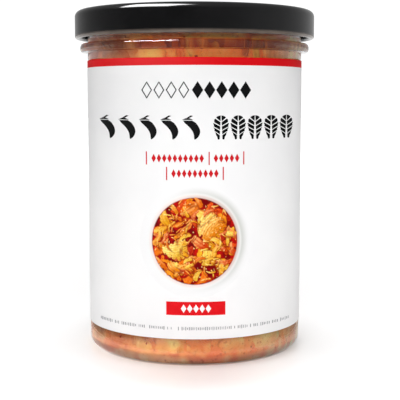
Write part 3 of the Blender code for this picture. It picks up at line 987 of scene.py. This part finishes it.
# the same from left to right in millimetres, near the base and near the lid, partly the food's own tone and
# partly painted light and shade: redder left, paler right
sideShade = {
    "low": [(-34.0, 0.66, 0.90, 1.50), (-20.0, 0.76, 0.86, 1.15), (-7.0, 1.04, 1.15, 1.20),
            (4.0, 1.06, 0.95, 1.0), (14.0, 1.2, 1.05, 1.15), (24.0, 1.7, 1.34, 2.0), (32.0, 2.2, 2.3, 4.0)],
    "high": [(-34.0, 0.85, 1.40, 2.60), (-30.0, 0.62, 0.76, 1.50), (-21.0, 0.62, 0.64, 0.95),
             (-14.0, 1, 1, 1), (20.0, 1, 1, 1), (28.0, 0.95, 1.25, 1.70), (34.0, 1.30, 2.00, 3.00)],
}
sideHeights = {"low": (17 * mm, 14 * mm), "high": (86 * mm, 92 * mm)}
kimchiColours = {
    "cream": linear(240, 208, 148), "pale": linear(234, 184, 116), "tan": linear(224, 150, 84),
    "orange": linear(214, 116, 60), "red": linear(188, 70, 36), "deep": linear(116, 44, 24),
    "olive": linear(176, 148, 62), "pepper": linear(176, 34, 20), "brown": linear(152, 92, 66),
    "ash": linear(186, 132, 108),
}
tones = {name: np.array(colour[:3]) for name, colour in kimchiColours.items()}
cutValues = {
    # across and up the wall in millimetres, and how deep its crinkles go
    "rib": {"wide": (8.0, 13.0), "long": (13.0, 20.0), "squeeze": 0.30, "frill": 0.14,
            "crinkle": 0.30, "fine": 190},
    "leaf": {"wide": (9.0, 16.0), "long": (12.0, 20.0), "squeeze": 0.42, "frill": 0.30,
             "crinkle": 0.95, "fine": 330},
    "strip": {"wide": (2.2, 3.0), "long": (18.0, 30.0), "thick": (2.2, 2.8)},
}
# cuts that lie against the glass in front: place along the wall and height, size in millimetres, and tone
frontCuts = [
    {"arc": -26.0, "z": 101.6, "wide": 22.0, "long": 4.2, "turn": 1, "tone": "brown"},
    {"arc": -9.0, "z": 101.0, "wide": 11.0, "long": 5.0, "turn": 3, "tone": "brown"},
    {"arc": 6.5, "z": 100.8, "wide": 15.0, "long": 4.6, "turn": -3, "tone": "tan"},
    {"arc": 20.0, "z": 100.5, "wide": 5.0, "long": 5.0, "turn": 8, "tone": "olive"},
    {"arc": -27.0, "z": 95.5, "wide": 15.0, "long": 9.0, "turn": 8, "tone": "brown"},
    {"arc": -13.8, "z": 95.4, "wide": 11.0, "long": 6.5, "turn": -6, "tone": "pale"},
    {"arc": -4.0, "z": 95.8, "wide": 3.4, "long": 6.0, "turn": 12, "tone": "pepper"},
    {"arc": 4.0, "z": 95.6, "wide": 12.0, "long": 7.0, "turn": 5, "tone": "orange"},
    {"arc": 11.5, "z": 96.5, "wide": 9.0, "long": 8.0, "turn": -12, "tone": "orange"},
    {"arc": 16.0, "z": 97.5, "wide": 2.6, "long": 5.0, "turn": -15, "tone": "deep"},
    {"arc": 19.4, "z": 97.0, "wide": 3.4, "long": 8.5, "turn": 10, "tone": "olive"},
    {"arc": 28.0, "z": 96.0, "wide": 13.0, "long": 9.0, "turn": 0, "tone": "brown"},
    {"arc": -38.0, "z": 5.0, "wide": 12.0, "long": 9.0, "turn": 0, "tone": "brown"},
    {"arc": -26.5, "z": 5.5, "wide": 9.0, "long": 8.0, "turn": 20, "tone": "red"},
    {"arc": -16.6, "z": 4.0, "wide": 7.0, "long": 6.5, "turn": -14, "tone": "pale"},
    {"arc": -8.5, "z": 4.6, "wide": 9.0, "long": 9.0, "turn": 6, "tone": "pale"},
    {"arc": 1.0, "z": 5.5, "wide": 9.0, "long": 8.0, "turn": 15, "tone": "orange"},
    {"arc": 12.0, "z": 4.6, "wide": 9.5, "long": 9.0, "turn": -8, "tone": "pale"},
    {"arc": 24.0, "z": 5.0, "wide": 14.0, "long": 8.0, "turn": 4, "tone": "pale"},
]


def easedHeight(z):
    # heights near the two ends are drawn in smoothly, so that no piece passes them
    v = heapValues
    room = v["margin"] - v["clear"]
    low = z - (v["low"] + v["margin"])
    high = z - (v["high"] - v["margin"])
    z = np.where(low < 0, v["low"] + v["clear"] + room * np.exp(np.minimum(low, 0) / room), z)
    return np.where(high > 0, v["high"] - v["clear"] - room * np.exp(-np.maximum(high, 0) / room), z)


def wallLimit(z):
    v = heapValues
    fall = np.clip(v["heel"] - (z - v["low"]), 0, v["heel"])
    return v["wall"] - v["heel"] + np.sqrt(v["heel"] ** 2 - fall ** 2)


def cutGrid(columns, rows):
    # a closed pillow: two grids that share their border
    u, v = np.meshgrid(np.linspace(-1, 1, columns + 1), np.linspace(-1, 1, rows + 1), indexing="ij")
    border = (np.abs(u) == 1) | (np.abs(v) == 1)
    count = u.size
    backOf = np.arange(count)
    backOf[~border.ravel()] = count + np.arange((~border).sum())
    faces = []
    for i in range(columns):
        for j in range(rows):
            a, b = i * (rows + 1) + j, (i + 1) * (rows + 1) + j
            faces.append((a, b, b + 1, a + 1))
            faces.append(tuple(backOf[k] for k in (a + 1, b + 1, b, a)))
    inside = ~border.ravel()
    u, v = u.ravel(), v.ravel()
    side = np.concatenate([np.zeros(count), np.ones(inside.sum())])
    return np.concatenate([u, u[inside]]), np.concatenate([v, v[inside]]), side, np.array(faces)


def shapeStrip(draw, grid, seed):
    # a matchstick of radish: square cut, bent a little
    u, v, side, _ = grid
    own = cutValues["strip"]
    length, wide, thick = (draw.uniform(*own[key]) * mm for key in ("long", "wide", "thick"))
    bend = draw.uniform(-0.3, 0.3)
    across = u * length / 2
    up = v * wide / 2 + bend * length / 2 * (u * u - 0.5)
    edge = np.clip(np.abs(v) ** 4 * 0.35 + np.abs(u) ** 14, 0, 1)
    depth = np.where(side > 0, thick - thick / 2 * edge, 0.1 * mm + thick / 2 * edge)
    fleck = smoothstep(-0.2, 0.4, flatNoise(across, up, 500, seed))
    base = tones["pale"] if draw.random() < 0.5 else tones["tan"]
    return across, up, depth, mixed(base, tones["orange"], 0.35 + 0.4 * fleck)


def shapeCut(draw, kind, grid, given=None):
    # local place (across, up, depth behind the glass) and colour of each point of one cut
    u, v, side, _ = grid
    seed = draw.uniform(0, 900)
    if kind == "strip":
        return shapeStrip(draw, grid, seed)
    rib = kind == "rib"
    own = cutValues[kind]
    wide, length = draw.uniform(*own["wide"]) * mm, draw.uniform(*own["long"]) * mm
    thick = draw.uniform(*heapValues["ribThick" if rib else "leafThick"])
    frill = flatNoise(u, v, 1.3, seed) * own["frill"]
    across = u * np.sqrt(1 - own["squeeze"] * v * v) * (1 + frill) * wide / 2
    up = v * np.sqrt(1 - own["squeeze"] * u * u) * (1 + frill * 0.8) * length / 2
    edge = np.maximum(np.abs(u), np.abs(v)) ** 8
    crinkle = flatNoise(across, up, own["fine"], seed + 5) * (0.2 if given else 1.0) * own["crinkle"] * mm
    veins = np.abs(np.sin((across / wide) * 7 + 0.6 * np.sin(up / length * 5 + seed)))
    relief = (0.10 if rib else 0.20) * mm * (1 - veins ** 0.5)
    lift = draw.uniform(0.0, 0.35) * mm * smoothstep(-1, 1, u * draw.choice((-1, 1)) + 0.3 * v)
    press = np.maximum(crinkle, 0.0) + relief + lift
    depth = np.where(side > 0, press + thick - thick / 2 * edge, press + min(thick / 2, 0.9 * mm) * edge)
    fibre = 0.5 + 0.5 * np.sin(across / mm * 5.2 + 3 * flatNoise(across, up, 260, seed + 2))
    cloud = smoothstep(-0.45, 0.45, flatNoise(across, up, 130, seed + 9))
    if rib:
        colour = mixed(mixed(tones["cream"], tones["pale"], 0.3 + 0.4 * fibre), tones["orange"], 0.55 * cloud)
    else:
        leafy = tones["olive"] if draw.random() < 0.16 else tones["tan"]
        colour = mixed(mixed(leafy, tones["pale"], 0.35 * fibre), tones["orange"], 0.15 + 0.6 * cloud)
    if given:
        across, up = across * given["wide"] * mm / wide, up * given["long"] * mm / length
        colour = mixed(mixed(tones[given["tone"]], tones["pale"], 0.2 * fibre), tones["orange"], 0.35 * cloud)
        return across, up, depth, mixed(colour, tones["orange"], 0.4 * edge)
    colour = mixed(colour, tones["red"], 0.5 * smoothstep(0.1, 0.5, flatNoise(across, up, 210, seed + 31)))
    return across, up, depth, mixed(colour, tones["orange"], 0.5 * edge)


def shadeAt(stops, places):
    stops = np.array(stops)
    return np.stack([np.interp(places / mm, stops[:, 0], stops[:, k]) for k in (1, 2, 3)], axis=1)


def blended(colour, points, share):
    # neighbouring cuts soak up the same soft clouds of red brine, so their tones run together
    cloud, patch = noiseAt(points, 150, (4, 9, 2)), noiseAt(points, 380, (1, 5, 8))
    stain = mixed(tones["tan"], tones["orange"], smoothstep(-0.2, 0.25, cloud))
    stain = mixed(stain, tones["pale"], 0.75 * smoothstep(0.05, 0.4, patch))
    stain = mixed(stain, tones["red"], 0.5 * smoothstep(0.05, 0.45, -patch))
    colour = mixed(colour, stain, share + np.zeros(len(points)))
    height = points[:, 2]
    # painted light and shade: each colour is scaled by the tables by height and from left to right
    shade = shadeAt(heapShade, height)
    for key, limits in sideHeights.items():
        across = shadeAt(sideShade[key], points[:, 0])
        shade *= mixed(np.ones((len(points), 3)), across, smoothstep(*limits, height))
    return np.clip(colour * shade, 0.0, 0.98)


def joinCuts(name, cuts, finish):
    points, faces, colours, count = [], [], [], 0
    for position, grid, colour, share in cuts:
        points.append(position)
        faces.append(grid[3] + count)
        colours.append(blended(colour, position, share))
        count += len(position)
    points, faces, colours = np.concatenate(points), np.concatenate(faces), np.concatenate(colours)
    mesh = bpy.data.meshes.new(name)
    mesh.from_pydata(points.tolist(), [], faces.tolist())
    paintPoints(mesh, colours)
    mesh.materials.append(finish)
    mesh.shade_smooth()
    thing = addObject(name, mesh)
    faceOutwards(thing)
    return thing


def pressToWall(draw, kind, grid, angle, height, turn, deeper, given=None):
    across, up, depth, colour = shapeCut(draw, kind, grid, given)
    wall = heapValues["wall"]
    along = across * math.cos(turn) - up * math.sin(turn)
    rise = across * math.sin(turn) + up * math.cos(turn)
    z = easedHeight(height + rise)
    a = angle + along / wall
    r = wallLimit(z) - depth - deeper
    border = np.maximum(np.abs(grid[0]), np.abs(grid[1])) ** 4
    firm = 0.5 if not given else 0.2 if given["z"] > 50 else 0.45
    share = firm + (0.95 - firm) * border
    return np.stack([r * np.cos(a), r * np.sin(a), z], axis=1), grid, colour, share


def pressToFloor(draw, kind, grid, x, y, turn):
    across, up, depth, colour = shapeCut(draw, kind, grid)
    px = x + across * math.cos(turn) - up * math.sin(turn)
    py = y + across * math.sin(turn) + up * math.cos(turn)
    radius = np.hypot(px, py)
    room = wallLimit(np.array([heapValues["low"] + 0.2 * mm]))[0]
    pull = np.minimum(1.0, room / np.maximum(radius, 1e-6))
    low = floorHeight(radius * pull) + 0.12 * mm
    return np.stack([px * pull, py * pull, low + depth], axis=1), grid, colour, 0.5


def makeFoodFinish(name, roughness, fleckMask):
    # wet vegetable: its own painted tint, red pepper flecks, and light that sinks in a little
    material, tree, shader = newMaterial(name, {
        "Roughness": roughness, "Specular IOR Level": 0.15, "Subsurface Weight": 0.2,
        "Subsurface Scale": 0.0015, "Subsurface Radius": (1.0, 0.5, 0.25)})
    paint = addNode(tree, "ShaderNodeAttribute", attribute_name="tint").outputs["Color"]
    fleck = maths(tree, "MULTIPLY", addMottle(tree, 900.0, 0.56, 0.72), fleckMask)
    tree.links.new(mixColours(tree, fleck, paint, kimchiColours["pepper"]), shader.inputs["Base Color"])
    addGrain(tree, shader, 900.0, 0.35, 0.0003)
    return material


def makeHeap():
    v = heapValues
    draw = random.Random(v["seed"])
    finish = makeFoodFinish("wetCabbage", 0.3, 0.4)
    broad, slim = cutGrid(15, 12), cutGrid(22, 6)
    rise = (v["high"] - v["low"]) / v["rows"]
    cuts = []
    for layer in (1, 0):
        for row in range(v["rows"]):
            for spot in range(v["perRow"]):
                angle = math.tau * (spot + 0.5 * (row + layer) % 1 + draw.uniform(-0.35, 0.35)) / v["perRow"]
                height = v["low"] + rise * (row + 0.5 + draw.uniform(-0.35, 0.35))
                kind = "rib" if draw.random() < (0.45 if layer == 0 else 0.25) else "leaf"
                turn = math.radians(draw.uniform(-50, 50))
                deeper = layer * v["deepLayer"] + draw.uniform(0, 0.35) * mm
                cuts.append(pressToWall(draw, kind, broad, angle, height, turn, deeper))
    for spot in range(v["floorCuts"]):
        away, angle = v["floorReach"] * math.sqrt((spot + 0.5) / v["floorCuts"]), spot * 2.4
        kind = draw.choice(("rib", "leaf"))
        turn = draw.uniform(0, math.tau)
        cuts.append(pressToFloor(draw, kind, broad, away * math.cos(angle), away * math.sin(angle), turn))
    for given in frontCuts:
        angle, turn = given["arc"] * mm / v["wall"] - math.pi / 2, math.radians(given["turn"])
        cuts.append(pressToWall(draw, "leaf", broad, angle, given["z"] * mm, turn, -0.05 * mm, given))
    cabbage = joinCuts("cabbageCuts", cuts, finish)
    strips = []
    for k in range(v["strips"]):
        angle, height = k * 2.39996, v["low"] + (v["high"] - v["low"]) * (k + 0.5) / v["strips"]
        turn = math.radians(draw.uniform(-80, 80))
        strips.append(pressToWall(draw, "strip", slim, angle, height, turn, 0.25 * mm))
    radish = joinCuts("radishStrips", strips, finish)
    return cabbage, radish


# the mash: how far its face lies behind the wall, how far it reaches into the glass floor, and its lumps
mashValues = {"back": 0.75 * mm, "into": 0.05 * mm, "lump": 0.42 * mm, "lumpsFrom": 2 * mm, "lumpsTo": 4 * mm}


def mashOutline():
    # close behind the wall and a hair into the glass floor and heel, so that they take its colour
    v, g = heapValues, glassValues
    into, heel = mashValues["into"], g["innerHeel"]
    back = innerRadius - mashValues["back"]
    points = [(0, g["floor"] - into), (g["bend"], g["floor"] - g["bendDrop"] - into)]
    points += arc(innerRadius - heel, g["floorEdge"] + heel, heel + into, -90, -22, 14)
    bottom, top = g["floorEdge"] + heel * 2.2, v["high"] - 2.5 * mm
    points += [(back, bottom + (top - bottom) * i / 110) for i in range(111)]
    points += arc(back - 2.0 * mm, top, 2.0 * mm, 15, 90, 6)
    return points + [(back * 0.6, top + 2.2 * mm), (0, top + 2.5 * mm)]


def makeMash():
    # chopped scraps and pepper paste between the cuts, lumpy and mottled
    v = mashValues
    finish = makeFoodFinish("pepperPaste", 0.35, 0.5)
    mash = turn("pepperMash", mashOutline(), finish, segments=320)
    points = np.array([vert.co[:] for vert in mash.data.vertices])
    radius = np.hypot(points[:, 0], points[:, 1])
    lump = noiseAt(points, 330) + 0.6 * noiseAt(points, 800)
    base = heapValues["low"]
    free = smoothstep(base + v["lumpsFrom"], base + v["lumpsTo"], points[:, 2]) * (radius > 8 * mm)
    scale = 1 + free * lump * v["lump"] / np.maximum(radius, mm)
    points[:, :2] *= scale[:, None]
    mash.data.vertices.foreach_set("co", points.astype(np.float32).ravel())
    cloud, scrap = noiseAt(points, 170), noiseAt(points, 420, (7, 3, 1))
    colour = mixed(tones["orange"], tones["red"], smoothstep(-0.1, 0.5, cloud))
    colour = mixed(colour, tones["tan"], 0.7 * smoothstep(0.0, 0.4, scrap))
    low = glassValues["floorEdge"]
    colour = mixed(colour, tones["ash"], 0.8 * (1 - smoothstep(low + 0.3 * mm, low + 1.8 * mm, points[:, 2])))
    paintPoints(mash.data, blended(colour, points, 0.55))
    return mash


cabbage, radish = makeHeap()
place(cabbage, "kimchi")
place(radish, "kimchi")
place(makeMash(), "kimchi")
print("kimchi: cabbage cuts", len(cabbage.data.polygons), "strips", len(radish.data.polygons))


# Brine round the pieces, reaching just into the wall so that no air gap shows

brineValues = {"into": 0.08 * mm, "soak": {"Color": (1.0, 0.50, 0.16, 1), "Density": 160.0}}


def makeBrine():
    g, into = glassValues, brineValues["into"]
    material, tree, shader = newMaterial("cloudyBrine", {
        "Base Color": linear(255, 240, 216), "Roughness": 0.0, "IOR": 1.34, "Transmission Weight": 1.0})
    letLightThrough(tree, shader, linear(255, 240, 222))
    soak = addNode(tree, "ShaderNodeVolumeAbsorption", brineValues["soak"])
    tree.links.new(soak.outputs[0], tree.nodes["Material Output"].inputs["Volume"])
    radius, heel = innerRadius + into, g["innerHeel"]
    points = [(0, g["floor"] - into), (g["bend"], g["floor"] - g["bendDrop"] - into)]
    points += arc(innerRadius - heel, g["floorEdge"] + heel, heel + into, -90, 0, 12)
    points += [(radius, brineLevel + 0.4 * mm), (radius - 0.6 * mm, brineLevel), (0, brineLevel)]
    return turn("brine", points, material, sharpFrom=60)


place(makeBrine(), "kimchi")
print("brine: orange and clear enough to see the pieces")


# Chilli flakes and air bubbles in the brine: one tree scatters small grains over a surface

scatterValues = {
    "flakes": {"away": innerRadius - 0.16 * mm, "arc": (0, 360), "z": (3.8, 101.0), "density": 15000.0,
               "size": (0.5, 1.3), "seed": 3, "grain": (0.9, 0.55, 0.22), "level": 1, "uneven": 0.5},
    "bubbles": {"away": innerRadius - 0.34 * mm, "arc": (208, 227), "z": (4.4, 8.2), "density": 640000.0,
                "size": (0.5, 1.2), "seed": 8, "grain": (0.55, 0.55, 0.55), "level": 3, "uneven": 0.0},
}


def makeScatterTree():
    tree, given, result = newTree(
        "scatter", "GeometryNodeTree",
        [("Surface", "Object", None), ("Grain", "Object", None),
         ("Density", "Float", 1000.0), ("Least", "Float", 0.5), ("Most", "Float", 1.0),
         ("Seed", "Int", 1), ("Finish", "Material", None)],
        [("Geometry", "Geometry")])
    spots = addNode(tree, "GeometryNodeDistributePointsOnFaces", {
        "Mesh": shapeOf(tree, given["Surface"]), "Density": given["Density"], "Seed": given["Seed"]})
    size = randomEach(tree, given["Least"], given["Most"])
    twist = addNode(tree, "ShaderNodeCombineXYZ", {2: randomEach(tree, 0.0, math.tau)}).outputs[0]
    turned = addNode(tree, "FunctionNodeRotateRotation", {
        "Rotation": spots.outputs["Rotation"], "Rotate By": twist}, rotation_space="LOCAL").outputs[0]
    copies = addNode(tree, "GeometryNodeInstanceOnPoints", {
        "Points": spots.outputs["Points"], "Instance": shapeOf(tree, given["Grain"]), "Rotation": turned,
        "Scale": size})
    endTree(tree, copies.outputs[0], given["Finish"], result)
    return tree


scatterTree = makeScatterTree()


def makeGrain(v):
    # a round grain, flattened by its three sizes and made uneven, in its own small space
    shape = bmesh.new()
    bmesh.ops.create_icosphere(shape, subdivisions=v["level"], radius=0.5 * mm)
    for vert in shape.verts:
        bump = 1 + v["uneven"] * noise.noise(vert.co * 1900)
        vert.co = Vector([value * scale * bump for value, scale in zip(vert.co, v["grain"])])
    mesh = meshFrom(shape, "grain")
    mesh.shade_smooth()
    return addObject("grain", mesh)


def scatter(name, key, finish, steps=96):
    # a bare strip of wall close inside the glass carries the grains
    v = scatterValues[key]
    first, last = v["arc"]
    angles = [math.radians(first + (last - first) * i / steps) for i in range(steps + 1)]
    low, high = (z * mm for z in v["z"])
    ends = [(v["away"] * math.cos(a), v["away"] * math.sin(a)) for a in angles]
    points = [(x, y, low) for x, y in ends] + [(x, y, high) for x, y in ends]
    wall = bpy.data.meshes.new("scatterWall")
    wall.from_pydata(points, [], [(i, i + 1, i + steps + 2, i + steps + 1) for i in range(steps)])
    guide = addObject("scatterWall", wall)
    grain = makeGrain(v)
    thing = runTree(name, scatterTree, {
        "Surface": guide, "Grain": grain, "Density": v["density"],
        "Least": v["size"][0], "Most": v["size"][1], "Seed": v["seed"], "Finish": finish})
    removeObject(guide)
    removeObject(grain)
    return place(thing, "kimchi")


def makeFlakeFinish():
    material, tree, shader = newMaterial("chilliFlake", {"Roughness": 0.35, "Specular IOR Level": 0.15})
    reds = twoTones(tree, (linear(204, 70, 36), linear(136, 34, 18)), 700.0, 0.4, 0.6)
    tree.links.new(reds, shader.inputs["Base Color"])
    return material


def makeBubbleFinish():
    # air in brine bends light the other way
    material, tree, shader = newMaterial("airBubble", {
        "Base Color": (1, 1, 1, 1), "Roughness": 0.0, "IOR": 0.75, "Transmission Weight": 1.0})
    letLightThrough(tree, shader, (0.9, 0.85, 0.8, 1))
    return material


flakes = scatter("chilliFlakes", "flakes", makeFlakeFinish())
bubbles = scatter("airBubbles", "bubbles", makeBubbleFinish())
print("flakes", len(flakes.data.polygons) // 80, "bubbles", len(bubbles.data.polygons) // 1280)
